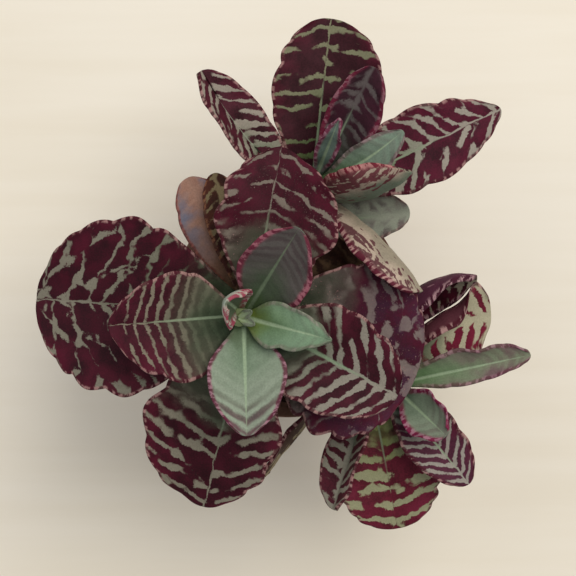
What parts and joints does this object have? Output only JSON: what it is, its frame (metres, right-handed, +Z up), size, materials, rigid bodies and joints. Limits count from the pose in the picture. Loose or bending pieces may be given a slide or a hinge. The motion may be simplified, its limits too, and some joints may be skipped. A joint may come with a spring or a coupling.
{
  "type": "potted kalanchoe",
  "caption": "Kalanchoe succulent in a plain clay pot: leaning stems with rosettes of broad, wavy, maroon-barred leaves.",
  "frame": {"origin": "middle of the pot's underside, on the surface it stands on", "axes": "+Z up; +X right and +Y back, as seen by someone who looks straight down on the plant"},
  "size_m": [0.2035, 0.2164, 0.1777],
  "materials": {
    "striped_leaf": "waxy skin, maroon bars on grey-green",
    "young_leaf": "waxy skin, pale grey-green with a plum margin",
    "fading_leaf": "dull, pink-brown",
    "dry_leaf": "dry, dull brown",
    "stem_bark": "matte, green-brown",
    "plain_clay": "matte brown fired clay",
    "potting_soil": "rough, dark brown"
  },
  "bodies": {
    "root": {"stem_main": "stem_bark", "stem_back": "stem_bark", "stem_side": "stem_bark", "main_leaf_left_large": "striped_leaf", "main_leaf_left": "striped_leaf", "main_leaf_front_large": "striped_leaf", "main_leaf_front_young": "young_leaf", "main_leaf_right_bud": "young_leaf", "main_leaf_back_young": "young_leaf", "main_leaf_left_bud": "young_leaf", "main_leaf_right": "striped_leaf", "main_leaf_right_large": "striped_leaf", "main_leaf_back_large": "striped_leaf", "main_leaf_fading": "fading_leaf", "main_leaf_back_old": "dry_leaf", "main_leaf_dry": "dry_leaf", "back_leaf_left": "striped_leaf", "back_leaf_back_large": "striped_leaf", "back_leaf_back_young": "striped_leaf", "back_leaf_bud": "young_leaf", "back_leaf_right_young": "young_leaf", "back_leaf_right_large": "striped_leaf", "back_leaf_right_cupped": "striped_leaf", "back_leaf_right_under": "striped_leaf", "back_leaf_front_cupped": "striped_leaf", "side_leaf_right_young": "young_leaf", "side_leaf_back_curled": "striped_leaf", "side_leaf_right_curled": "striped_leaf", "side_leaf_front_right": "striped_leaf", "side_leaf_front_large": "striped_leaf", "side_leaf_bud": "young_leaf", "side_leaf_left_folded": "striped_leaf", "side_leaf_left_edge": "striped_leaf", "pot": "plain_clay", "soil": "potting_soil"}
  },
  "joints": []
}
